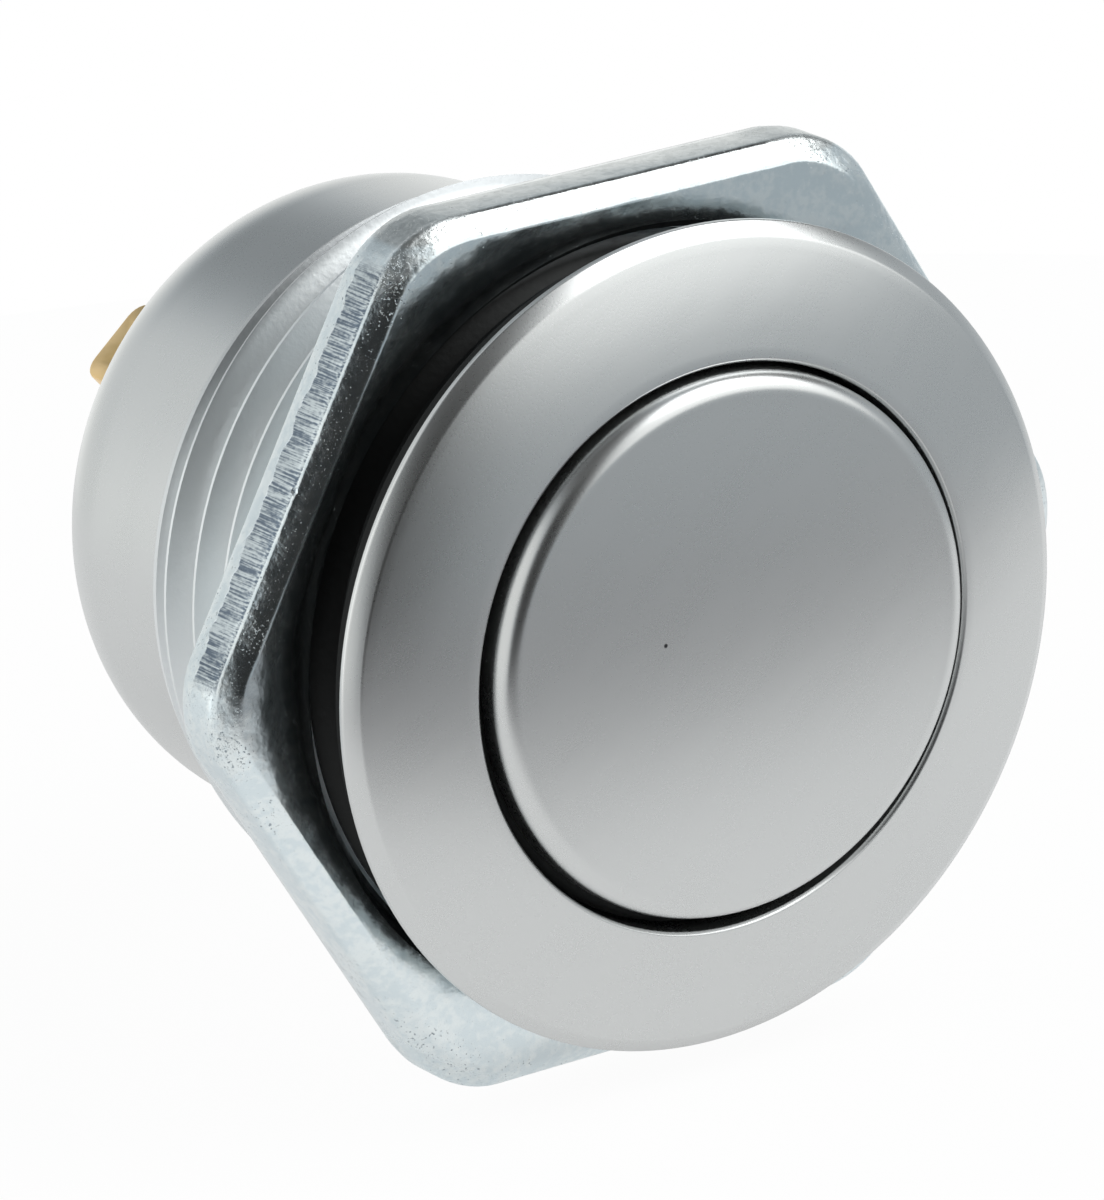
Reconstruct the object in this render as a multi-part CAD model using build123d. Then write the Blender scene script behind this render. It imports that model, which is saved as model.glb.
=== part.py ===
from build123d import *
import os

# Momentary panel pushbutton with a round metal bezel, a threaded barrel and two solder tabs.
# Millimetres. The button faces -Y, the terminals point +Y and +Z is up.
# The origin is the centre of the bezel's rear face, the plane that seats on the panel.
# "Depth" is a distance along +Y from that plane, so the front of the bezel has negative depths.

# Bezel
bezel_overhang = 1.0
rim_thickness = 0.15
rim_chamfer_width = 0.4
rim_chamfer_height = 0.35
bezel_rise = 1.16
bezel_crown = 0.06
hole_edge_chamfer = 0.2

# Barrel and tail
thread_diameter = 22.0
thread_length = 10.75
lead_in_length = 1.55
lead_in_drop = 0.65
tail_step = 1.35
tail_length = 8.65
tail_end_radius = 4.3
tail_wall = 0.7

# Steps in the bore of the barrel
barrel_wall = 2.3
button_shoulder_depth = 1.6
button_shoulder_width = 0.5

# Nut and gasket
nut_wall = 1.85
nut_corner_radius = 3.0
nut_thickness = 2.25
nut_bevel_width = 0.6
nut_bevel_height = 0.5
nut_rear_taper_width = 0.12
nut_rear_taper_height = 0.6
nut_bore_chamfer = 0.35
nut_to_seat = 2.4
thread_clearance = 0.08
gasket_overhang = 0.6
gasket_thickness = 0.9
gasket_clearance = 0.05

# Button
button_gap = 0.3
button_proud = 0.65
button_crown = 0.35
button_edge_radius = 0.6
button_face_thickness = 1.3
button_wall = 1.02
collar_clearance = 0.15
collar_thickness = 1.8
press_travel = 1.5
press_stop_clearance = 0.05

# Button seal
seal_wire = 0.84
seal_running_clearance = 0.08
seal_groove_width = 1.0
seal_groove_clearance = 0.06
seal_behind_lip = 0.96

# Plunger
plunger_head_thickness = 1.2
plunger_head_clearance = 0.05
stem_diameter = 6.0
stem_flat_depth = 0.5
stem_length = 8.35
pin_diameter = 2.6
pin_flat_depth = 0.3
pin_tail = 0.5

# Guide bush
guide_thickness = 1.6
guide_boss_wall = 1.5
guide_boss_height = 0.8
guide_clearance = 0.08
insert_clearance = 0.05

# Springs
return_wire = 0.6
return_turns = 4.5
return_seat_depth = 0.5
return_seat_clearance = 0.2
contact_wire = 0.35
contact_spring_gap = 0.45
contact_turns = 3.5
contact_spring_length = 2.5
wire_sides = 8

# Contact bridge
bridge_thickness = 0.5
bridge_width = 3.4
bridge_end_clearance = 1.2
bridge_pin_clearance = 0.1
bridge_rim = 0.3
contact_diameter = 2.2
bridge_contact_height = 0.5
contact_gap = 1.05

# Clip on the end of the plunger
clip_thickness = 0.4
clip_overhang = 0.65
clip_groove_depth = 0.4
clip_clearance = 0.05
clip_nip = 0.25

# Terminals
blade_width = 2.8
blade_thickness = 0.5
blade_to_contact = 1.25
blade_reach = 5.55
blade_corner_radius = 0.6
blade_bend_radius = 0.3
foot_overhang = 0.4
fixed_contact_height = 0.65
eye_diameter = 1.3
eye_from_tip = 1.7
insert_roll = 50.0

# Contact sleeve, terminal base and potting
sleeve_wall = 1.0
key_width = 2.4
key_height = 0.9
key_clearance = 0.05
slot_clearance = 0.05
base_recess = 0.4
base_lip = 0.6
pin_pocket_clearance = 0.5
pin_pocket_depth = 1.0
blade_to_lip = 0.85
potting_depth = 1.1
potting_sink = 0.2

# Depths worked out from the sizes above
lip_depth = -(rim_thickness + bezel_rise)
rim_front = -rim_thickness
tail_start = thread_length + lead_in_length
tail_end = tail_start + tail_length
button_edge_front = lip_depth - button_proud
cavity_floor = button_edge_front - button_crown + button_face_thickness
head_rear = cavity_floor + plunger_head_thickness
stem_end = head_rear + stem_length
bridge_front = stem_end + contact_spring_length
bridge_rear = bridge_front + bridge_thickness
clip_rear = bridge_rear + clip_thickness
pin_end = clip_rear + pin_tail
fixed_contact_front = bridge_rear + bridge_contact_height + contact_gap
foot_front = fixed_contact_front + fixed_contact_height
base_front = foot_front + blade_thickness
collar_rear = button_shoulder_depth + collar_thickness
guide_seat_depth = collar_rear + press_travel + press_stop_clearance
guide_rear = guide_seat_depth + guide_thickness
base_boss_end = tail_end - base_recess
blade_tip = tail_end + blade_reach
seal_depth = lip_depth + seal_behind_lip

# Radii worked out from the sizes above, from the thread inwards
thread_radius = thread_diameter / 2
bezel_radius = thread_radius + bezel_overhang
chamber_radius = thread_radius - barrel_wall
hole_radius = chamber_radius - button_shoulder_width
button_radius = hole_radius - button_gap
seal_groove_radius = hole_radius - seal_running_clearance - seal_wire - seal_groove_clearance
cavity_radius = seal_groove_radius - button_wall
return_spring_radius = (stem_diameter / 2 + cavity_radius) / 2
contact_spring_radius = pin_diameter / 2 + contact_spring_gap + contact_wire / 2
clip_radius = pin_diameter / 2 + clip_overhang
clip_groove_radius = pin_diameter / 2 - clip_groove_depth
tail_radius = thread_radius - tail_step
insert_radius = tail_radius - tail_wall - insert_clearance
bridge_reach = insert_radius - sleeve_wall - bridge_end_clearance
contact_place = bridge_reach - bridge_rim - contact_diameter / 2
blade_place = contact_place - blade_to_contact
potting_radius = blade_place + blade_to_lip
base_boss_radius = potting_radius + base_lip
rear_hole_radius = base_boss_radius + 2 * insert_clearance


def turned(*outline):
    """A solid turned about the Y axis from the corners of half its section, each (radius, depth)."""
    return revolve(make_face(Polyline(*outline, close=True)), Axis.Y)


def disc(radius, front, rear):
    """A plain cylinder on the Y axis between two depths."""
    return turned((0, front), (radius, front), (radius, rear), (0, rear))


def ring(inner, outer, front, rear):
    """A plain tube on the Y axis between two depths."""
    return turned((inner, front), (outer, front), (outer, rear), (inner, rear))


def facing_front(depth):
    """The plane at a depth that looks towards -Y, with X across and Z up."""
    return Plane(origin=(0, depth, 0), x_dir=(1, 0, 0), z_dir=(0, -1, 0))


def pressed(sketch, front, rear):
    """A sketch drawn in X and Z, made solid between two depths."""
    return extrude(facing_front(rear) * sketch, amount=rear - front)


def edges_at(solid, depth, radius):
    """The circular edges of a turned solid at one depth and radius."""
    return [
        e for e in solid.edges().filter_by(GeomType.CIRCLE)
        if abs(e.arc_center.Y - depth) < 1e-4 and abs(e.radius - radius) < 1e-4
    ]


def double_d(diameter, flat_depth, clearance=0):
    """A circle with two flats, above and below, and a clearance all round where it is a hole."""
    round_part = Circle(diameter / 2 + clearance)
    return round_part & Rectangle(2 * diameter, diameter - 2 * flat_depth + 2 * clearance)


def rolled(piece):
    """Turns a piece of the contact insert to the angle at which the tabs stand in the barrel."""
    return Rot(0, insert_roll, 0) * piece


def make_housing():
    """Bezel, threaded barrel and rolled-in tail, turned and closed as one piece."""
    crown_start = (bezel_radius - rim_chamfer_width, rim_front - rim_chamfer_height)
    lip = (hole_radius + hole_edge_chamfer, lip_depth)
    section = make_face(
        Line((0, lip_depth), lip)
        + SagittaArc(lip, crown_start, -bezel_crown)
        + Polyline(
            crown_start,
            (bezel_radius, rim_front),
            (bezel_radius, 0),
            (thread_radius, 0),
            (thread_radius, thread_length),
            (thread_radius - lead_in_drop, tail_start),
            (tail_radius, tail_start),
            (tail_radius, tail_end),
            (0, tail_end),
            (0, lip_depth),
        )
    )
    outside = revolve(section, Axis.Y)
    outside = fillet(edges_at(outside, tail_end, tail_radius), tail_end_radius)

    flare = hole_edge_chamfer + 1
    front_bore = turned(
        (0, lip_depth - 1),
        (hole_radius + flare, lip_depth - 1),
        (hole_radius, lip_depth + hole_edge_chamfer),
        (hole_radius, button_shoulder_depth),
        (chamber_radius, button_shoulder_depth),
        (chamber_radius, guide_seat_depth),
        (0, guide_seat_depth),
    )
    tail_bore_radius = tail_radius - tail_wall
    tail_bore_end = tail_end - tail_wall
    tail_bore = disc(tail_bore_radius, guide_seat_depth, tail_bore_end)
    corner = edges_at(tail_bore, tail_bore_end, tail_bore_radius)
    tail_bore = fillet(corner, tail_end_radius - tail_wall)
    rear_hole = disc(rear_hole_radius, tail_bore_end - 1, tail_end + 1)
    return outside - front_bore - tail_bore - rear_hole


def make_nut():
    """Pressed hexagon nut: rounded corners, a bevel all round its front and a slight taper behind."""
    rear = nut_to_seat + nut_thickness
    outline = RegularPolygon(thread_radius + nut_wall, 6, major_radius=False)
    outline = fillet(outline.vertices(), nut_corner_radius)
    blank = pressed(outline, nut_to_seat, rear)
    front_face = blank.faces().sort_by(Axis.Y)[0]
    blank = chamfer(front_face.edges(), nut_bevel_width, nut_bevel_height, reference=front_face)
    rear_face = blank.faces().sort_by(Axis.Y)[-1]
    blank = chamfer(rear_face.edges(), nut_rear_taper_width, nut_rear_taper_height, reference=rear_face)
    bore = thread_radius + thread_clearance
    flare = nut_bore_chamfer + 1
    return blank - turned(
        (0, nut_to_seat - 1),
        (bore + flare, nut_to_seat - 1),
        (bore, nut_to_seat + nut_bore_chamfer),
        (bore, rear - nut_bore_chamfer),
        (bore + flare, rear + 1),
        (0, rear + 1),
    )


def make_gasket():
    """Flat rubber washer that the bezel squeezes onto the panel."""
    return ring(thread_radius + gasket_clearance, thread_radius + gasket_overhang, 0, gasket_thickness)


def make_button():
    """Hollow metal cap with a crowned face, a seal groove and a collar that stops it in the barrel."""
    radius = button_radius
    edge_centre = (radius - button_edge_radius, button_edge_front + button_edge_radius)
    edge_top = (radius - button_edge_radius, button_edge_front)
    crown = ThreePointArc(
        (-edge_top[0], button_edge_front),
        (0, button_edge_front - button_crown),
        edge_top,
    ).trim(0.5, 1)
    collar_radius = chamber_radius - collar_clearance
    groove_front = seal_depth - seal_groove_width / 2
    groove_rear = seal_depth + seal_groove_width / 2
    section = make_face(
        crown
        + CenterArc(edge_centre, button_edge_radius, 0, -90)
        + Polyline(
            (radius, edge_centre[1]),
            (radius, groove_front),
            (seal_groove_radius, groove_front),
            (seal_groove_radius, groove_rear),
            (radius, groove_rear),
            (radius, button_shoulder_depth),
            (collar_radius, button_shoulder_depth),
            (collar_radius, collar_rear),
            (cavity_radius, collar_rear),
            (cavity_radius, cavity_floor),
            (0, cavity_floor),
            (0, button_edge_front - button_crown),
        )
    )
    return revolve(section, Axis.Y)


def make_button_seal():
    """Rubber ring in the groove of the button."""
    middle = hole_radius - seal_running_clearance - seal_wire / 2
    return revolve(Pos(middle, seal_depth) * Circle(seal_wire / 2), Axis.Y)


def make_plunger():
    """Head in the button, flatted stem through the guide, and a thin pin that carries the bridge."""
    head = disc(cavity_radius - plunger_head_clearance, cavity_floor, head_rear)
    stem = pressed(double_d(stem_diameter, stem_flat_depth), head_rear, stem_end)
    pin = pressed(double_d(pin_diameter, pin_flat_depth), stem_end, pin_end)
    groove = ring(clip_groove_radius, pin_diameter, bridge_rear, clip_rear)
    return rolled(head + stem + (pin - groove))


def make_guide_bush():
    """Plastic disc that guides the stem and seats the return spring."""
    seat_radius = return_spring_radius + return_wire / 2 + return_seat_clearance
    boss_radius = stem_diameter / 2 + guide_boss_wall
    body = disc(insert_radius, guide_seat_depth, guide_rear)
    body += disc(boss_radius, guide_rear, guide_rear + guide_boss_height)
    body -= disc(seat_radius, guide_seat_depth - 1, guide_seat_depth + return_seat_depth)
    bore = double_d(stem_diameter, stem_flat_depth, guide_clearance)
    return rolled(body - pressed(bore, guide_seat_depth - 1, guide_rear + guide_boss_height + 1))


def coil_spring(wire, radius, turns, front, rear):
    """A compression spring with plain ends that touch both depths. Its wire is drawn with few sides."""
    height = rear - front - wire
    path = Helix(height / turns, height, radius, center=(0, front + wire / 2, 0), direction=(0, 1, 0))
    return sweep(Plane(origin=path @ 0, z_dir=path % 0) * RegularPolygon(wire / 2, wire_sides), path=path)


def make_return_spring():
    """Spring between the plunger's head and the guide."""
    seat = guide_seat_depth + return_seat_depth
    return coil_spring(return_wire, return_spring_radius, return_turns, head_rear, seat)


def make_contact_spring():
    """Small spring on the pin that presses the bridge against its clip."""
    return coil_spring(contact_wire, contact_spring_radius, contact_turns, stem_end, bridge_front)


def make_bridge():
    """Flat bar that joins the two fixed contacts when the button is pressed."""
    hole = double_d(pin_diameter, pin_flat_depth, bridge_pin_clearance)
    bar = SlotOverall(2 * bridge_reach, bridge_width) - hole
    return rolled(pressed(bar, bridge_front, bridge_rear))


def make_contact(side, front, rear):
    """A round contact button on one side of the insert."""
    spot = Pos(side * contact_place, 0) * Circle(contact_diameter / 2)
    return rolled(pressed(spot, front, rear))


def make_clip():
    """Open ring snapped into the groove at the end of the pin."""
    mouth_width = 2 * (clip_groove_radius - clip_nip)
    mouth = Pos(0, clip_radius) * Rectangle(mouth_width, 2 * clip_radius)
    shape = Circle(clip_radius) - Circle(clip_groove_radius + clip_clearance) - mouth
    return rolled(pressed(shape, bridge_rear, clip_rear))


def blade_profile(side, width, thickness):
    """Section of a blade where it passes through the base."""
    return Pos(side * blade_place, 0) * Rectangle(thickness, width)


def make_terminal(side):
    """Blade with a rounded tip and a wire eye, bent outwards into a foot under its contact."""
    blade = pressed(blade_profile(side, blade_width, blade_thickness), foot_front, blade_tip)
    tip_corners = [e for e in blade.edges().filter_by(Axis.X) if abs(e.center().Y - blade_tip) < 1e-4]
    blade = fillet(tip_corners, blade_corner_radius)
    foot_end = contact_place + contact_diameter / 2 + foot_overhang
    foot_start = blade_place - blade_thickness / 2
    foot_centre = side * (foot_start + foot_end) / 2
    foot = Pos(foot_centre, 0) * Rectangle(foot_end - foot_start, blade_width)
    piece = blade + pressed(foot, foot_front, base_front)
    bend = [
        e for e in piece.edges().filter_by(Axis.Z)
        if abs(e.center().Y - foot_front) < 1e-4 and abs(e.center().X - side * foot_start) < 1e-4
    ]
    piece = fillet(bend, blade_bend_radius)
    across = Plane(
        origin=(side * blade_place, blade_tip - eye_from_tip, 0),
        x_dir=(0, 1, 0),
        z_dir=(1, 0, 0),
    )
    eye = extrude(across * Circle(eye_diameter / 2), amount=blade_thickness, both=True)
    return rolled(piece - eye)


def keys(width, height):
    """Two lugs, above and below, that lock the base and the sleeve together."""
    reach = 2 * insert_radius
    wall = Circle(insert_radius) - Circle(insert_radius - sleeve_wall)
    return pressed(wall & Rectangle(width, reach), base_front - height, base_front)


def make_sleeve():
    """Insulating tube round the contacts, notched behind for the keys of the base."""
    tube = ring(insert_radius - sleeve_wall, insert_radius, guide_rear, base_front)
    return rolled(tube - keys(key_width + 2 * key_clearance, key_height + key_clearance))


def make_terminal_base():
    """Moulded base that fills the rolled end of the tail and holds the blades."""
    arc = tail_end_radius - tail_wall - insert_clearance
    dome_end = tail_end - tail_wall - insert_clearance
    body = disc(insert_radius, base_front, dome_end)
    body = fillet(edges_at(body, dome_end, insert_radius), arc)
    body += disc(base_boss_radius, base_front, base_boss_end)
    body += keys(key_width, key_height)
    body -= disc(clip_radius + pin_pocket_clearance, base_front - 1, base_front + pin_pocket_depth)
    body -= disc(potting_radius, base_boss_end - potting_sink - potting_depth, base_boss_end + 1)
    for side in (-1, 1):
        slot = blade_profile(side, blade_width + 2 * slot_clearance, blade_thickness + 2 * slot_clearance)
        body -= pressed(slot, base_front - 1, base_boss_end + 1)
    return rolled(body)


def make_potting():
    """Sealing compound round the blades at the back of the base."""
    rear = base_boss_end - potting_sink
    fill = disc(potting_radius, rear - potting_depth, rear)
    for side in (-1, 1):
        fill -= pressed(blade_profile(side, blade_width, blade_thickness), rear - potting_depth - 1, rear + 1)
    return rolled(fill)


bridge_contact_rear = bridge_rear + bridge_contact_height
parts = {
    "housing": make_housing(),
    "panel_nut": make_nut(),
    "panel_gasket": make_gasket(),
    "push_button": make_button(),
    "button_seal": make_button_seal(),
    "plunger": make_plunger(),
    "guide_bush": make_guide_bush(),
    "return_spring": make_return_spring(),
    "contact_spring": make_contact_spring(),
    "contact_bridge": make_bridge(),
    "bridge_contact_left": make_contact(-1, bridge_rear, bridge_contact_rear),
    "bridge_contact_right": make_contact(1, bridge_rear, bridge_contact_rear),
    "plunger_clip": make_clip(),
    "contact_sleeve": make_sleeve(),
    "terminal_left": make_terminal(-1),
    "terminal_right": make_terminal(1),
    "fixed_contact_left": make_contact(-1, fixed_contact_front, foot_front),
    "fixed_contact_right": make_contact(1, fixed_contact_front, foot_front),
    "terminal_base": make_terminal_base(),
    "rear_potting": make_potting(),
}

os.makedirs("parts", exist_ok=True)
for name, piece in parts.items():
    export_step(piece, f"parts/{name}.step")
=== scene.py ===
import math

import bmesh
import bpy
from mathutils import Matrix, Vector


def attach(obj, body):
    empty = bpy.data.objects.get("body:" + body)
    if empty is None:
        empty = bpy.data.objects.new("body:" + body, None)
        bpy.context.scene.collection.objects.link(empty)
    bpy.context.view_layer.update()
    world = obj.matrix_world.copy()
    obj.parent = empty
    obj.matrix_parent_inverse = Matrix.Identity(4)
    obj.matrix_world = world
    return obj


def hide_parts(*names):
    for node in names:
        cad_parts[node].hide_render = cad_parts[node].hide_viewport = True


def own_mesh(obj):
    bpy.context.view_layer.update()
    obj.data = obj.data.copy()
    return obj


# A momentary metal pushbutton for a 22 mm panel hole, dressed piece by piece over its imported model.
# Metres, with the button towards -Y, the tabs towards +Y and +Z up. Sizes below are in millimetres.
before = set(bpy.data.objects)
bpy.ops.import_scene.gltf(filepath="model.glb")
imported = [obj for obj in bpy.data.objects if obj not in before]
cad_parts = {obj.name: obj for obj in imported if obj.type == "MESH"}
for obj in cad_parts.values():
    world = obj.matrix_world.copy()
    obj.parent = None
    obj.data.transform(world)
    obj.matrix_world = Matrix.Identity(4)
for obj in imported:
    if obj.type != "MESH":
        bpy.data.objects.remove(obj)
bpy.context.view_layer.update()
MM = 0.001


# Camera: a long lens in front of the button, to its left and a little above.
camera_place = Vector((-149.9, -222.45, 92.7)) * MM
camera_right = Vector((0.8274, -0.5594, -0.0490))
camera_up = Vector((0.2192, 0.2415, 0.9453))
camera_sensor = 36
camera_lens = 304.3
camera_near = 10
bpy.ops.object.camera_add(location=camera_place)
camera = bpy.context.object
camera_axes = Matrix((camera_right, camera_up, camera_right.cross(camera_up))).transposed()
camera.rotation_euler = camera_axes.to_euler()
camera.data.sensor_width = camera_sensor
camera.data.lens = camera_lens
camera.data.clip_start = camera_near * MM
bpy.context.scene.camera = camera
bpy.context.scene.view_settings.view_transform = "Standard"


# Studio: a round white table in a pale room, with a softbox at the right and darkness round the
# camera. The camera sees both as plain white; the switch mirrors the table's near part, painted dark as
# shade.
table_radius = 75
table_height = -12.95
table_centre = 5
table_shade = (20, 45)
table_roughness = 0.9
lamp_place = (120, -90, 190)
lamp_width = 200
lamp_power = 0.215
white = (1, 1, 1, 1)


class Socket:
    """A socket of a shader tree. Sums and products of it add Math nodes, and node() adds any other."""

    def __init__(self, tree, output=None):
        self.tree = tree
        self.output = output

    def node(self, kind, settings=None, inputs=None, output=0):
        added = self.tree.nodes.new("ShaderNode" + kind)
        for setting, value in (settings or {}).items():
            setattr(added, setting, value)
        for name, value in (inputs or {}).items():
            if isinstance(value, Socket):
                self.tree.links.new(value.output, added.inputs[name])
            else:
                added.inputs[name].default_value = value
        return Socket(self.tree, added.outputs[output])

    def into(self, shader, name):
        self.tree.links.new(self.output, shader.inputs[name])

    def mixed(self, first, second):
        """The first colour where this is 0 and the second where it is 1."""
        return self.node("Mix", {"data_type": "RGBA"}, {0: self, 6: first, 7: second}, output=2)

    def step(self, low, high):
        """0 below low and 1 above high, smooth between."""
        limits = {"Value": self, "From Min": low, "From Max": high}
        return self.node("MapRange", {"interpolation_type": "SMOOTHSTEP"}, limits)

    def band(self, rise, fall):
        """1 between two soft edges, each given as where it starts and where it ends, in mm."""
        return self.step(rise[0] * MM, rise[1] * MM) * (1 - self.step(fall[0] * MM, fall[1] * MM))

    def axis(self, name):
        return self.node("SeparateXYZ", None, {"Vector": self}, output=name)

    def measured(self, operation, other=(0, 0, 0)):
        """A number worked out from this vector and another, such as their DISTANCE."""
        return self.node("VectorMath", {"operation": operation}, {0: self, 1: other}, output="Value")

    def maths(self, operation, first, second):
        return self.node("Math", {"operation": operation}, {0: first, 1: second})

    def __add__(self, other):
        return self.maths("ADD", self, other)

    def __sub__(self, other):
        return self.maths("SUBTRACT", self, other)

    def __rsub__(self, other):
        return self.maths("SUBTRACT", other, self)

    def __mul__(self, other):
        return self.maths("MULTIPLY", self, other)

    __radd__ = __add__
    __rmul__ = __mul__


def lobe(direction, centre, inner, outer):
    """1 within the inner angle of a centre direction, falling smoothly to 0 at the outer angle."""
    aligned = direction.measured("DOT_PRODUCT", Vector(centre).normalized())
    return aligned.step(math.cos(math.radians(outer)), math.cos(math.radians(inner)))


world = bpy.data.worlds.new("studio_room")
world.use_nodes = True
bpy.context.scene.world = world
room = Socket(world.node_tree)
sight = room.node("TexCoord", output="Generated")
height = sight.axis("Z")
across = sight.axis("X")
behind = sight.axis("Y")
softbox = lobe(sight, (0.54, -0.68, 0.50), 26, 40) * height.step(0.06, 0.16)
camera_side = lobe(sight, (-0.37, -0.9, 0.24), 19, 36)
left_wall = lobe(sight, (-1, 0, 0.05), 34, 56)
rear_wall = behind.step(0.1, 0.5) * (0.74 - height.step(-0.1, 0.15) * 0.07)
rear_shade = lobe(sight, (0.13, 0.79, 0.6), 5, 28)
upper_shade = lobe(sight, (0.75, 0.15, 0.7), 8, 30)
front = across.step(-0.1, 0.3) * 0.36 * (1 - behind.step(0.1, 0.5))
corner = lobe(sight, (0.5, 0.85, -0.35), 10, 40)
level = 0.1 + front + softbox * 0.95 + left_wall * 0.85 + rear_wall + corner * 0.3
level = level - rear_shade * 0.47 - upper_shade * 0.45 - camera_side * 0.5
level = level.node("Clamp", None, {"Value": level, "Min": 0.03, "Max": 1.4})
bright = level.step(0.6, 0.95)
cool = level.step(0.12, 0.4) * (1 - bright)
tint = {"Red": level * 0.99 - cool * 0.026, "Green": level, "Blue": level + cool * 0.02 - bright * 0.014}
grey = room.node("CombineColor", None, tint)
seen = room.node("LightPath", output="Is Camera Ray")
background = world.node_tree.nodes["Background"]
seen.mixed(grey, white).into(background, "Color")

bpy.ops.object.light_add(type="AREA", location=Vector(lamp_place) * MM)
lamp = bpy.context.object
lamp.name = "softbox_lamp"
lamp.data.shape = "DISK"
lamp.data.size = lamp_width * MM
lamp.data.energy = lamp_power
lamp.rotation_euler = lamp.location.to_track_quat("Z", "Y").to_euler()

bpy.ops.object.select_all(action="DESELECT")
bpy.ops.mesh.primitive_circle_add(
    vertices=96,
    radius=table_radius * MM,
    fill_type="NGON",
    location=(0, table_centre * MM, table_height * MM),
)
table = bpy.context.object
table.name = "round_table"
table_paint = bpy.data.materials.new("white_table")
table_paint.use_nodes = True
top = Socket(table_paint.node_tree)
shader = table_paint.node_tree.nodes["Principled BSDF"]
shader.inputs["Roughness"].default_value = table_roughness
rays = top.node("LightPath", output="Is Camera Ray")
mirrored = top.node("LightPath", output="Is Glossy Ray")
through = top.node("LightPath", output="Is Transmission Ray")
paint = Socket(table_paint.node_tree, shader.outputs[0])
forward = top.node("TexCoord", output="Object").axis("Y") * -1
# The table's near part is painted dark grey, a painted shade for the metal to mirror.
foreground = forward.step(table_shade[0] * MM, table_shade[1] * MM)
shaded = foreground.mixed((0.96, 0.96, 0.96, 1), (0.33, 0.33, 0.34, 1))
colour = rays.mixed(shaded, white)
colour.into(shader, "Base Color")
glow = top.node("Emission", None, {"Color": colour, "Strength": 1})
shown = rays * 0.96 + mirrored * 0.6 + through * 0.6
output = table_paint.node_tree.nodes["Material Output"]
top.node("MixShader", None, {0: shown, 1: paint, 2: glow}).into(output, "Surface")
table.data.materials.append(table_paint)


# Housing: bezel, threaded barrel and tail, turned from one bar, bead-blasted and nickel-plated.
# The thread is cut with a helical tool, and the thin tail is rolled in over the moulded base.
bezel_radius = 12.0
bezel_front = -1.31
hole_radius = 8.2
hole_chamfer = 0.1
rim_front = -0.15
crown_edge = (11.6, -0.5)
crown_rise = 0.06
shoulder = (8.7, 1.6)
guide_seat = 4.95
thread_radius = 11.0
thread_end = 10.75
lead_in_end = (10.35, 12.3)
thread_pitch = 1.5
thread_root = 10.15
groove_at_root = 0.33
groove_at_crest = 1.4
groove_slope = 0.577
first_groove = 1.592
thread_turns = 8
tool_rise = 0.03
tail_radius = 9.65
tail_bend = 4.3
tail_wall = 0.7
tail_bend_start = 16.65
rear_hole_radius = 5.6
WELD = 0.001 * MM
NEAR = 0.01


def arc(centre, radius, start, end, steps):
    """Points of (radius, depth) on an arc, its angles in degrees from straight out towards the rear."""
    angles = [math.radians(start + (end - start) * number / steps) for number in range(steps + 1)]
    return [(centre[0] + radius * math.cos(a), centre[1] + radius * math.sin(a)) for a in angles]


def bowed(start, end, rise, steps):
    """Points of (radius, depth) on a shallow curve that rises towards the front between two points."""
    shares = [number / steps for number in range(steps + 1)]
    return [
        (start[0] + (end[0] - start[0]) * s, start[1] + (end[1] - start[1]) * s - rise * 4 * s * (1 - s))
        for s in shares
    ]


def drawn(name, outline, closed):
    """A wire drawn point by point from one vertex, in the plane of X and Y, left in edit mode."""
    bpy.ops.object.select_all(action="DESELECT")
    bpy.ops.mesh.primitive_plane_add(size=MM)
    piece = bpy.context.object
    piece.name = name
    piece.data.name = name
    bpy.ops.object.mode_set(mode="EDIT")
    bpy.ops.mesh.merge(type="CENTER")
    bpy.ops.transform.translate(value=(outline[0][0] * MM, outline[0][1] * MM, 0))
    ends = outline[1:] + outline[:1] if closed else outline[1:]
    for start, end in zip(outline, ends):
        move = ((end[0] - start[0]) * MM, (end[1] - start[1]) * MM, 0)
        bpy.ops.mesh.extrude_vertices_move(TRANSFORM_OT_translate={"value": move})
    bpy.ops.mesh.select_all(action="SELECT")
    bpy.ops.mesh.remove_doubles(threshold=WELD)
    return piece


def closed_up():
    """Joins what meets, in edit mode, points all faces outwards and leaves edit mode."""
    bpy.ops.mesh.select_all(action="SELECT")
    bpy.ops.mesh.remove_doubles(threshold=WELD)
    bpy.ops.mesh.normals_make_consistent(inside=False)
    bpy.ops.object.mode_set(mode="OBJECT")


def turned(name, outline, closed=True, sides=192):
    """A piece turned about the Y axis from its half section."""
    piece = drawn(name, outline, closed)
    bpy.ops.mesh.select_all(action="SELECT")
    bpy.ops.mesh.spin(steps=sides, angle=2 * math.pi, center=(0, 0, 0), axis=(0, 1, 0))
    closed_up()
    return piece


def wound(name, section, pitch, turns, steps=144):
    """A helical bar with the given section, wound rearwards about the Y axis and closed at its ends."""
    bar = drawn(name, section, True)
    bpy.ops.object.mode_set(mode="OBJECT")
    helix = bar.modifiers.new("helix", "SCREW")
    helix.axis = "Y"
    helix.angle = 2 * math.pi * turns
    helix.screw_offset = pitch * turns * MM
    helix.steps = round(steps * turns)
    helix.render_steps = helix.steps
    bpy.ops.object.modifier_apply(modifier=helix.name)
    bpy.ops.object.mode_set(mode="EDIT")
    bpy.ops.mesh.select_all(action="SELECT")
    bpy.ops.mesh.fill_holes(sides=len(section))
    closed_up()
    return bar


def cut(piece, tool):
    """Takes the tool's shape out of the piece and throws the tool away."""
    bpy.ops.object.select_all(action="DESELECT")
    bpy.context.view_layer.objects.active = piece
    piece.select_set(True)
    modifier = piece.modifiers.new("cut", "BOOLEAN")
    modifier.operation = "DIFFERENCE"
    modifier.solver = "EXACT"
    modifier.object = tool
    bpy.ops.object.modifier_apply(modifier=modifier.name)
    bpy.data.objects.remove(tool)


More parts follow.
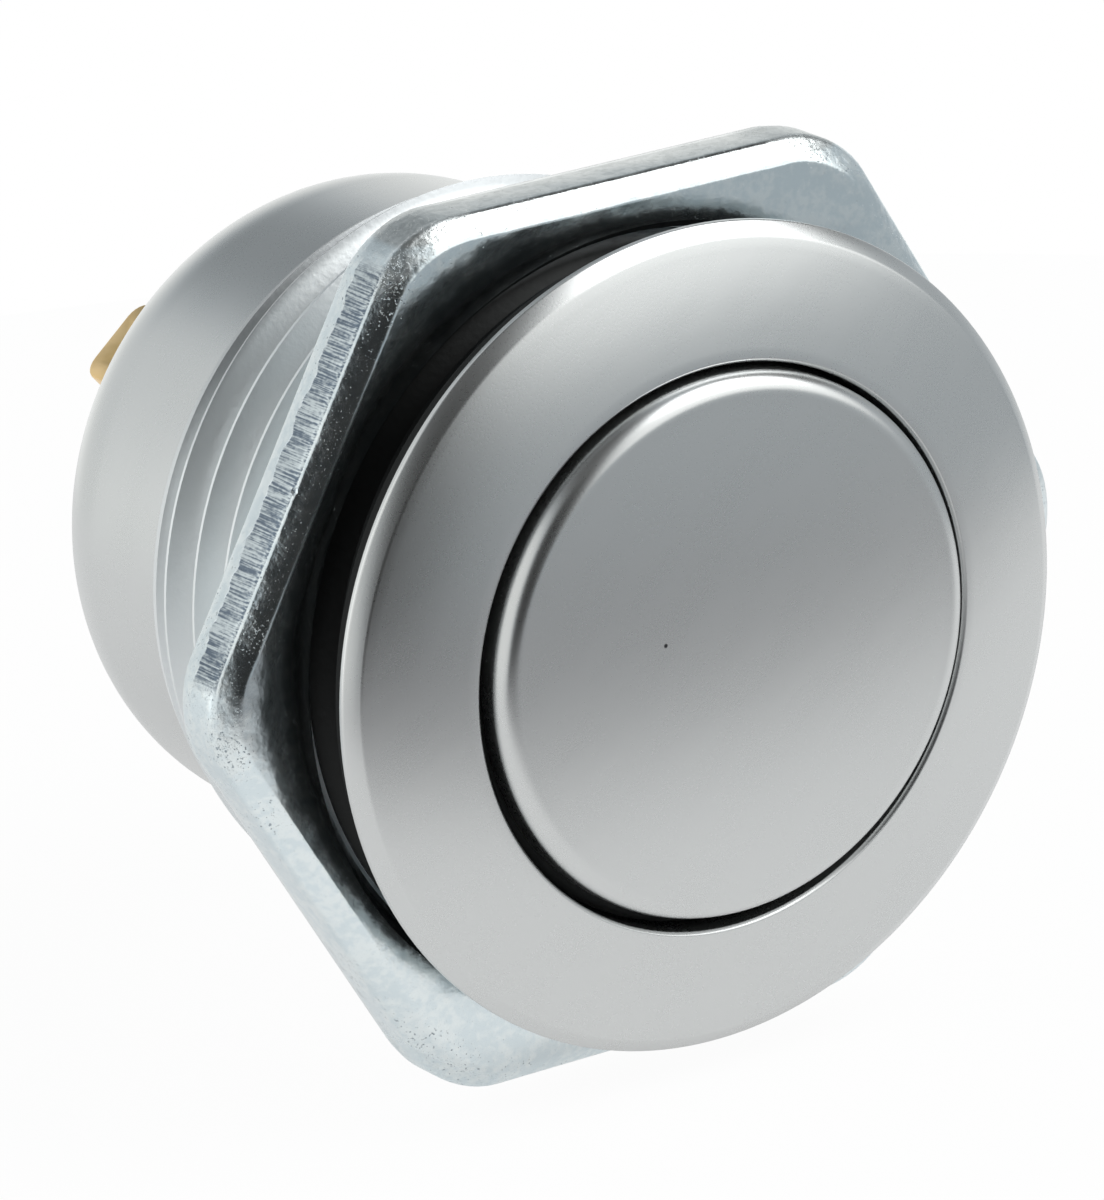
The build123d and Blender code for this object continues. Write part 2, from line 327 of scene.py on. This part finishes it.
def picked(piece, rule):
    """Selects the edit-mode edges whose two ends, in mm, obey the rule."""
    mesh = bmesh.from_edit_mesh(piece.data)
    bpy.ops.mesh.select_all(action="DESELECT")
    for edge in mesh.edges:
        if rule(edge.verts[0].co / MM, edge.verts[1].co / MM):
            edge.select_set(True)
    bmesh.update_edit_mesh(piece.data)


def on_ring(radius, depth):
    """A rule for picked(): both ends lie on a ring about the Y axis."""
    return lambda *ends: all(
        abs(end.y - depth) < NEAR and abs(math.hypot(end.x, end.z) - radius) < NEAR for end in ends
    )


def softened_ring(piece, radius, depth, width):
    """Rounds off one sharp ring of a turned piece."""
    bpy.ops.object.select_all(action="DESELECT")
    bpy.context.view_layer.objects.active = piece
    bpy.ops.object.mode_set(mode="EDIT")
    picked(piece, on_ring(radius, depth))
    bpy.ops.mesh.bevel(offset=width * MM, segments=3, affect="EDGES")
    bpy.ops.object.mode_set(mode="OBJECT")


def smoothed(piece, angle=28):
    """Smooth shading over gentle bends, with the sharp edges kept."""
    bpy.ops.object.select_all(action="DESELECT")
    bpy.context.view_layer.objects.active = piece
    piece.select_set(True)
    bpy.ops.object.shade_smooth_by_angle(angle=math.radians(angle))


bend_centre = (tail_radius - tail_bend, tail_bend_start)
outer_stop = math.degrees(math.acos((rear_hole_radius - bend_centre[0]) / tail_bend))
inner_bend = tail_bend - tail_wall
inner_stop = math.degrees(math.acos((rear_hole_radius - bend_centre[0]) / inner_bend))
housing_outline = (
    [(hole_radius, bezel_front + hole_chamfer)]
    + bowed((hole_radius + hole_chamfer, bezel_front), crown_edge, crown_rise, 10)
    + [(bezel_radius, rim_front), (bezel_radius, 0), (thread_radius, 0), (thread_radius, thread_end)]
    + [lead_in_end, (tail_radius, lead_in_end[1])]
    + arc(bend_centre, tail_bend, 0, outer_stop, 24)
    + arc(bend_centre, inner_bend, inner_stop, 0, 12)
    + [(tail_radius - tail_wall, guide_seat), (shoulder[0], guide_seat)]
    + [shoulder, (hole_radius, shoulder[1])]
)
housing = turned("housing_turned", housing_outline)
for ring_radius, ring_depth, width in (
    (crown_edge[0], crown_edge[1], 0.05),
    (bezel_radius, rim_front, 0.04),
    (hole_radius + hole_chamfer, bezel_front, 0.04),
    (hole_radius, bezel_front + hole_chamfer, 0.03),
):
    softened_ring(housing, ring_radius, ring_depth, width)
groove_top = thread_radius + tool_rise
top_width = groove_at_crest + 2 * tool_rise * groove_slope
groove = [
    (thread_root, first_groove - groove_at_root / 2),
    (groove_top, first_groove - top_width / 2),
    (groove_top, first_groove + top_width / 2),
    (thread_root, first_groove + groove_at_root / 2),
]
cut(housing, wound("thread_tool", groove, thread_pitch, thread_turns))
smoothed(housing)


def finish(name, colour, metallic, roughness):
    """A new material with its plain values, as (material, shader, object coordinates)."""
    material = bpy.data.materials.new(name)
    material.use_nodes = True
    shader = material.node_tree.nodes["Principled BSDF"]
    shader.inputs["Base Color"].default_value = (*colour, 1)
    shader.inputs["Metallic"].default_value = metallic
    shader.inputs["Roughness"].default_value = roughness
    return material, shader, Socket(material.node_tree).node("TexCoord", output="Object")


def grain(place, size, detail=2.0, stretch=(1, 1, 1)):
    """Noise from 0 to 1 with lumps of about the given size in mm, drawn out where stretch is small."""
    scaled = place.node("Mapping", None, {"Vector": place, "Scale": stretch})
    return place.node("TexNoise", None, {"Vector": scaled, "Scale": 1 / (size * MM), "Detail": detail})


def raised(height, depth, below=None):
    """A bumped normal, the height's full range being the depth in mm."""
    inputs = {"Height": height, "Strength": 1.0, "Distance": depth * MM}
    if below is not None:
        inputs["Normal"] = below
    return height.node("Bump", None, inputs)


def satin_nickel(name, fleck=(0, 0, 0)):
    """Bead-blasted nickel: a fine even grain, faint slanting clouds and turning lines along the barrel.
    The thread from the gasket into the nut is painted near black as painted shade. A fine scratch runs
    round the tail.
    The fleck is a dark grain no wider than a hair, at a point in mm. At the default none shows."""
    tone = (0.655, 0.668, 0.666)
    scratch_top = 7.2 * MM
    scratch_bend = 56
    material, shader, place = finish(name, tone, 1.0, 0.3)
    dimples = grain(place, 0.07, 2.5)
    slant = place.node("Mapping", None, {"Vector": place, "Rotation": (0, math.radians(38), 0)})
    clouds = grain(slant, 1.1, 1.0, (0.4, 1, 1))
    lathe = grain(place, 0.12, 1.5, (0.02, 1, 0.02))
    depth = place.axis("Y")
    upward = place.axis("Z")
    threaded = depth.band((0.8, 1), (12.2, 12.4))
    pale = tuple(min(1, value * 1.012) for value in tone)
    dull = tuple(value * 0.988 for value in tone)
    # The thread is coloured lighter than the bezel, and the top of its lead-in is painted darker as
    # painted shade.
    painted_shade_lead_in = depth.step(10.6 * MM, 10.8 * MM) * upward.step(3.5 * MM, 9 * MM)
    thread_tone_and_shade = painted_shade_lead_in.mixed((0.8, 0.83, 0.84, 1), (0.44, 0.46, 0.47, 1))
    plain = threaded.mixed(clouds.mixed((*dull, 1), (*pale, 1)), thread_tone_and_shade)
    aside = place.measured("DISTANCE", Vector(fleck) * MM)
    metal = aside.step(0.04 * MM, 0.08 * MM).mixed((0.07, 0.07, 0.075, 1), plain)
    # The thread from behind the gasket up into the nut is painted near black: painted shade between the
    # bezel and the nut.
    painted_shade_first_turns = depth.band((0.84, 0.88), (3.2, 3.5))
    painted_shade_first_turns.mixed(metal, (0.03, 0.031, 0.031, 1)).into(shader, "Base Color")
    (0.25 + clouds * 0.02 + dimples * 0.04 + threaded * 0.16).into(shader, "Roughness")
    rough_thread = grain(place, 0.2, 2.0) * threaded
    below_top = scratch_top - upward
    droop = below_top.maths("MAXIMUM", below_top, 0)
    track = depth - droop * droop * scratch_bend + lathe * 0.03 * MM
    line = track.band((12.56, 12.62), (12.62, 12.68))
    scratch = line * upward.step(3.6 * MM, 4.6 * MM)
    relief = raised(lathe, 0.0008, raised(rough_thread, 0.008, raised(clouds, 0.004)))
    raised(dimples, 0.0009, raised(scratch, -0.02, relief)).into(shader, "Normal")
    return material


housing.data.materials.append(satin_nickel("satin_nickel_housing"))
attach(housing, "barrel")
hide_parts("housing")


# Panel nut: pressed from strip and bright zinc-plated. The press leaves rounded corners, a soft
# front edge, and shear marks on two opposite flats with a smooth drawn band behind them. A small
# nick breaks the front edge at the left. The top of the nut is painted darker as painted shade.
nut_apothem = 12.85
nut_front = 2.4
nut_rear = 4.65
nut_corner = 3.0
nut_bevel = (0.6, 0.5)
nut_taper = (0.12, 0.6)
nut_front_round = 0.12
nut_bevel_round = 0.15
nut_rear_round = 0.1
nut_bore = 11.08
nut_bore_chamfer = 0.35
bore_overrun = 1
nut_groove = 0.5
tap_mouth = (1.2, 2.6)
tap_flat = (1.8, 2.0)
tap_rise = 0.1
tap_turns = 3
nick_radius = 0.22
nick_place = (-11.36, 2.78, 6.2)


def at_depth(depth):
    """A rule for picked(): both ends lie at the depth."""
    return lambda *ends: all(abs(end.y - depth) < NEAR for end in ends)


bpy.ops.object.select_all(action="DESELECT")
bpy.ops.mesh.primitive_circle_add(
    vertices=6,
    radius=nut_apothem / math.cos(math.pi / 6) * MM,
    fill_type="NGON",
    location=(0, nut_front * MM, 0),
    rotation=(math.pi / 2, math.pi / 6, 0),
)
nut = bpy.context.object
nut.name = "hex_nut"
nut.data.name = "hex_nut"
bpy.ops.object.transform_apply(location=True, rotation=True, scale=True)
bpy.ops.object.mode_set(mode="EDIT")
bpy.ops.mesh.select_all(action="SELECT")
depths = [nut_bevel[1], nut_rear - nut_front - nut_bevel[1] - nut_taper[1], nut_taper[1]]
for depth in depths:
    bpy.ops.mesh.extrude_region_move(TRANSFORM_OT_translate={"value": (0, depth * MM, 0)})
picked(nut, lambda start, end: abs(start.y - end.y) > NEAR)
bpy.ops.mesh.bevel(offset=nut_corner * math.tan(math.pi / 6) * MM, segments=10, affect="EDGES")
for end, shrink in ((nut_front, nut_bevel[0]), (nut_rear, nut_taper[0])):
    picked(nut, at_depth(end))
    scale = 1 - shrink / nut_apothem
    bpy.ops.transform.resize(value=(scale, 1, scale), center_override=(0, end * MM, 0))
for edge_depth, width, segments in (
    (nut_front, nut_front_round, 3),
    (nut_front + nut_bevel[1], nut_bevel_round, 4),
    (nut_rear, nut_rear_round, 3),
):
    picked(nut, at_depth(edge_depth))
    bpy.ops.mesh.bevel(offset=width * MM, segments=segments, affect="EDGES")
closed_up()
flare = nut_bore_chamfer + bore_overrun
bore_outline = [
    (0, nut_front - bore_overrun),
    (nut_bore + flare, nut_front - bore_overrun),
    (nut_bore, nut_front + nut_bore_chamfer),
    (nut_bore, nut_rear - nut_bore_chamfer),
    (nut_bore + flare, nut_rear + bore_overrun),
    (0, nut_rear + bore_overrun),
]
cut(nut, turned("bore_tool", bore_outline, closed=False))
inner_groove = [
    (nut_bore - tap_rise, tap_mouth[0]),
    (nut_bore - tap_rise, tap_mouth[1]),
    (nut_bore + nut_groove, tap_flat[1]),
    (nut_bore + nut_groove, tap_flat[0]),
]
cut(nut, wound("tap_tool", inner_groove, thread_pitch, tap_turns))
bpy.ops.mesh.primitive_ico_sphere_add(
    subdivisions=2,
    radius=nick_radius * MM,
    location=Vector(nick_place) * MM,
)
cut(nut, bpy.context.object)
smoothed(nut)

zinc, shader, place = finish("bright_zinc_plate", (0.8, 0.84, 0.86), 1.0, 0.2)
waves = grain(place, 1.4, 1.5)
peel = grain(place, 0.25, 2.0)
specks = grain(place, 0.042, 2.0)
depth = place.axis("Y")


def reach(direction):
    """How far a point lies from the axis along a direction, to either side of it."""
    along = place.measured("DOT_PRODUCT", direction)
    return along.node("Math", {"operation": "ABSOLUTE"}, {0: along})


flattened = place.node("Mapping", None, {"Vector": place, "Scale": (1, 0, 1)})
radial = flattened.measured("LENGTH")
corners = radial.step(13.5 * MM, 14 * MM)
sheared_flats = reach((-0.866, 0, 0.5)).step(12.62 * MM, 12.7 * MM)
middle = 1 - reach((0.5, 0, 0.866)).step(5.9 * MM, 6.5 * MM)
blocks = grain(place, 0.7, 1.0, (1, 0.15, 1))
torn = depth + peel * 0.2 * MM + blocks * 0.5 * MM
band = depth.step(2.85 * MM, 2.9 * MM) * (1 - torn.step(4.3 * MM, 4.36 * MM))
sheared = sheared_flats * middle * band
marks = grain(place, 0.055, 1.5, (1, 0.035, 1))
breaks = grain(place, 0.09, 2.0, (1, 0.5, 1))
dashes = (marks * 0.8 + breaks * 0.3 + blocks * 0.35).step(0.6, 0.86)
film = (waves * 0.5 + peel * 0.5).step(0.4, 0.6).mixed((0.72, 0.80, 0.83, 1), (0.82, 0.88, 0.89, 1))
pits = (grain(place, 0.1, 2.0) + waves * 0.3).step(0.8, 0.88) * radial.step(12.8 * MM, 13.2 * MM)
# The top of the nut is painted darker than the other flats: painted shade.
upper = place.axis("Z").step(12.2 * MM, 12.35 * MM)
painted_top_shade = peel.step(0.35, 0.6).mixed((0.54, 0.57, 0.57, 1), (0.64, 0.67, 0.67, 1))
plate = upper.mixed(pits.mixed(film, (0.36, 0.42, 0.46, 1)), painted_top_shade)
torn_metal = dashes.mixed((0.63, 0.69, 0.71, 1), (0.15, 0.19, 0.24, 1))
sheared.mixed(plate, torn_metal).into(shader, "Base Color")
(0.1 + waves * 0.06 + peel * 0.08 + corners * 0.14 + sheared * 0.2).into(shader, "Roughness")
bevelled = depth.band((2.45, 2.6), (2.8, 2.9))
crumbs = (specks + corners * 0.1 + waves * 0.1).step(0.75, 0.85) * (corners * 0.5 + 0.5)
ripple = peel * (corners * 0.5 + bevelled * 0.35 + 0.25)
relief = crumbs * 0.7 + ripple - sheared * marks * 0.8 - pits * 0.6
raised(relief, 0.02, raised(waves, 0.05)).into(shader, "Normal")
nut.data.materials.append(zinc)
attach(nut, "nut")
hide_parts("panel_nut")


# Gasket: a flat ring punched from black rubber sheet, stretched over the thread behind the bezel.
gasket_inner = 11.05
gasket_outer = 11.6
gasket_thickness = 0.9
gasket_round = 0.12
gasket_outline = (
    [(gasket_inner, 0), (gasket_outer - gasket_round, 0)]
    + arc((gasket_outer - gasket_round, gasket_round), gasket_round, -90, 0, 4)[1:]
    + arc((gasket_outer - gasket_round, gasket_thickness - gasket_round), gasket_round, 0, 90, 4)
    + [(gasket_inner, gasket_thickness)]
)
gasket = turned("rubber_gasket", gasket_outline)
smoothed(gasket)


def moulded(name, colour, roughness, lump=0.05, depth=0.003, gloss=0.5):
    """Moulded rubber, plastic or resin: nearly even in colour, with a fine soft grain."""
    material, shader, place = finish(name, colour, 0.0, roughness)
    shader.inputs["Specular IOR Level"].default_value = gloss
    fine = grain(place, lump, 3.0)
    broad = grain(place, 1.2, 1.0)
    darker = tuple(value * 0.8 for value in colour)
    lighter = tuple(min(1, value * 1.15) for value in colour)
    broad.mixed((*darker, 1), (*lighter, 1)).into(shader, "Base Color")
    (roughness - 0.06 + fine * 0.12).into(shader, "Roughness")
    raised(fine, depth).into(shader, "Normal")
    return material


black_rubber = moulded("black_rubber_sheet", (0.014, 0.015, 0.015), 0.75, gloss=0.25)
gasket.data.materials.append(black_rubber)
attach(gasket, "barrel")
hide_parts("panel_gasket")


# Button: a turned cap, finished like the housing. A wide crown, a rounded edge, a groove for its
# seal, and a collar behind that keeps it in the barrel. It stands a little off centre in its play.
button_radius = 7.9
button_edge_front = -1.96
button_crown = 0.35
button_edge = 0.6
crown_steps = 24
groove_bottom = 7.22
groove_front = -0.85
groove_rear = 0.15
collar = (8.55, 1.6, 3.4)
cavity = (6.2, -1.01)
button_play = (0, 0, 0.14)
button_fleck = (-2.66, -2.26, 0.96)
edge_centre = (button_radius - button_edge, button_edge_front + button_edge)
crown_points = [
    (
        edge_centre[0] * number / crown_steps,
        button_edge_front - button_crown * (1 - (number / crown_steps) ** 2),
    )
    for number in range(crown_steps + 1)
]
button_outline = (
    crown_points
    + arc(edge_centre, button_edge, -90, 0, 10)[1:]
    + [(button_radius, groove_front), (groove_bottom, groove_front), (groove_bottom, groove_rear)]
    + [(button_radius, groove_rear), (button_radius, collar[1]), (collar[0], collar[1])]
    + [(collar[0], collar[2]), (cavity[0], collar[2]), cavity, (0, cavity[1])]
)
button = turned("button_cap", button_outline, closed=False)
button.data.transform(Matrix.Translation(Vector(button_play) * MM))
smoothed(button)
button.data.materials.append(satin_nickel("satin_nickel_button", button_fleck))
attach(button, "button")
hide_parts("push_button")


# Solder tabs: gold-plated brass strip with a rounded tip and a wire eye. Each runs forwards through
# the base and turns outwards into a foot behind its fixed contact.
tab_place = 4.05
tab_width = 2.8
tab_thickness = 0.5
tab_front = 13.74
tab_tip = 26.5
tab_corner = 0.6
tab_edge_round = 0.06
foot_end = 6.8
eye_depth = 24.8
eye_radius = 0.65
insert_roll = 50


def strip_tab(name, side):
    """One tab, drawn at the right of the axis, then turned to its place."""
    bpy.ops.object.select_all(action="DESELECT")
    middle = (tab_front + tab_tip) / 2
    bpy.ops.mesh.primitive_cube_add(size=MM, location=(tab_place * MM, middle * MM, 0))
    tab = bpy.context.object
    tab.name = name
    tab.data.name = name
    tab.scale = (tab_thickness, tab_tip - tab_front, tab_width)
    bpy.ops.object.transform_apply(location=True, rotation=True, scale=True)
    bpy.ops.object.mode_set(mode="EDIT")
    picked(tab, lambda start, end: abs(start.x - end.x) > NEAR and start.y > tab_tip - NEAR)
    bpy.ops.mesh.bevel(offset=tab_corner * MM, segments=6, affect="EDGES")
    bpy.ops.mesh.select_all(action="SELECT")
    bend = (tab_front + tab_thickness) * MM
    bpy.ops.mesh.bisect(plane_co=(0, bend, 0), plane_no=(0, 1, 0))
    mesh = bmesh.from_edit_mesh(tab.data)
    bpy.ops.mesh.select_all(action="DESELECT")
    for face in mesh.faces:
        face.select_set(face.normal.x > 0.9 and face.calc_center_median().y < bend)
    bmesh.update_edit_mesh(tab.data)
    reach = (foot_end - tab_place - tab_thickness / 2) * MM
    bpy.ops.mesh.extrude_region_move(TRANSFORM_OT_translate={"value": (reach, 0, 0)})
    closed_up()
    bpy.ops.mesh.primitive_cylinder_add(
        vertices=40,
        radius=eye_radius * MM,
        depth=4 * tab_thickness * MM,
        location=(tab_place * MM, eye_depth * MM, 0),
        rotation=(0, math.pi / 2, 0),
    )
    cut(tab, bpy.context.object)
    edges = tab.modifiers.new("edges", "BEVEL")
    edges.width = tab_edge_round * MM
    edges.segments = 2
    edges.limit_method = "ANGLE"
    edges.angle_limit = math.radians(40)
    bpy.ops.object.modifier_apply(modifier=edges.name)
    turn = insert_roll if side > 0 else insert_roll + 180
    tab.data.transform(Matrix.Rotation(math.radians(turn), 4, "Y"))
    smoothed(tab)
    return tab


gold, shader, place = finish("gold_plate", (0.72, 0.53, 0.29), 1.0, 0.28)
rolled_lines = grain(place, 0.08, 2.0, (1, 0.05, 1))
stains = grain(place, 1.1, 2.0)
stains.step(0.35, 0.65).mixed((0.80, 0.56, 0.25, 1), (0.94, 0.68, 0.34, 1)).into(shader, "Base Color")
(0.22 + rolled_lines * 0.12 + stains * 0.06).into(shader, "Roughness")
raised(rolled_lines, 0.002).into(shader, "Normal")
for side, end in ((-1, "left"), (1, "right")):
    tab = strip_tab("solder_tab_" + end, side)
    tab.data.materials.append(gold)
    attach(tab, "barrel")
    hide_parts("terminal_" + end)


# Resin seal: dark epoxy poured into the cup of the base, a little higher where it wets the wall.
# The meniscus is given as distance in from the wall and height.
resin_radius = 4.9
resin_front = 19.25
resin_rear = 20.35
meniscus = ((0, 0.12), (0.1, 0.03), (0.35, -0.05), (0.8, -0.08), (2.5, -0.07), (4.9, -0.06))
resin_outline = [(0, resin_front), (resin_radius, resin_front)]
resin_outline += [(resin_radius - inward, resin_rear + rise) for inward, rise in meniscus]
resin = turned("resin_seal", resin_outline, closed=False, sides=96)
for side in (-1, 1):
    bpy.ops.mesh.primitive_cube_add(size=MM, location=(side * tab_place * MM, resin_rear * MM, 0))
    slot_tool = bpy.context.object
    slot_tool.scale = (tab_thickness, 4, tab_width)
    bpy.ops.object.transform_apply(location=True, rotation=True, scale=True)
    slot_tool.data.transform(Matrix.Rotation(math.radians(insert_roll), 4, "Y"))
    cut(resin, slot_tool)
smoothed(resin, 40)
resin.data.materials.append(moulded("potting_epoxy", (0.02, 0.021, 0.024), 0.3, lump=0.6, depth=0.01))
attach(resin, "barrel")
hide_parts("rear_potting")


# Springs: round steel wire. The return spring lies between the plunger's head and the guide, and the
# contact spring between the stem and the bridge.
return_wire = 0.6
return_radius = 4.6
return_turns = 4.5
return_ends = (0.19, 5.45)
contact_wire = 0.35
contact_radius = 1.925
contact_turns = 3.5
contact_ends = (8.54, 11.04)
wire_sides = 12


def coiled(name, radius, wire, turns, ends):
    """A compression spring wound from round wire between two depths."""
    section = arc((radius, ends[0] + wire / 2), wire / 2, 0, 360 - 360 / wire_sides, wire_sides - 1)
    spring = wound(name, section, (ends[1] - ends[0] - wire) / turns, turns, 48)
    smoothed(spring, 40)
    return spring


def inner_metal(name, colour, roughness, line):
    """Drawn or stamped metal with fine lines along its length."""
    material, shader, place = finish(name, colour, 1.0, roughness)
    lines = grain(place, line, 2.0, (1, 0.3, 1))
    patches = grain(place, 0.9, 2.0)
    dull = tuple(value * 0.85 for value in colour)
    patches.mixed((*colour, 1), (*dull, 1)).into(shader, "Base Color")
    (roughness - 0.05 + lines * 0.12).into(shader, "Roughness")
    raised(lines, 0.002).into(shader, "Normal")
    return material


spring_steel = inner_metal("spring_steel_wire", (0.55, 0.55, 0.54), 0.28, 0.08)
return_spring = coiled("return_coil", return_radius, return_wire, return_turns, return_ends)
return_spring.data.materials.append(spring_steel)
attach(return_spring, "barrel")
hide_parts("return_spring")
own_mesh(return_spring)
contact_spring = coiled("contact_coil", contact_radius, contact_wire, contact_turns, contact_ends)
contact_spring.data.materials.append(spring_steel)
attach(contact_spring, "button")
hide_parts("contact_spring")
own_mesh(contact_spring)


# Inner pieces: plunger, clip, guide, bridge, contacts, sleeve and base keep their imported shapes. They
# are white and black mouldings, spring steel, brass strip and silver contact rivets.
inner_finishes = {
    "plunger_clip": spring_steel,
    "button_seal": black_rubber,
    "plunger": moulded("white_acetal", (0.78, 0.77, 0.73), 0.38),
    "guide_bush": moulded("white_acetal_guide", (0.76, 0.75, 0.71), 0.4),
    "contact_bridge": inner_metal("brass_strip", (0.78, 0.62, 0.33), 0.3, 0.1),
    "contact_sleeve": moulded("black_sleeve", (0.022, 0.022, 0.023), 0.45),
    "terminal_base": moulded("black_base", (0.024, 0.024, 0.026), 0.42, lump=0.08, depth=0.004),
}
silver = inner_metal("silver_contact", (0.86, 0.86, 0.84), 0.22, 0.12)
for end in ("left", "right"):
    inner_finishes["bridge_contact_" + end] = silver
    inner_finishes["fixed_contact_" + end] = silver
for node, material in inner_finishes.items():
    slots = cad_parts[node].data.materials
    slots.clear()
    slots.append(material)
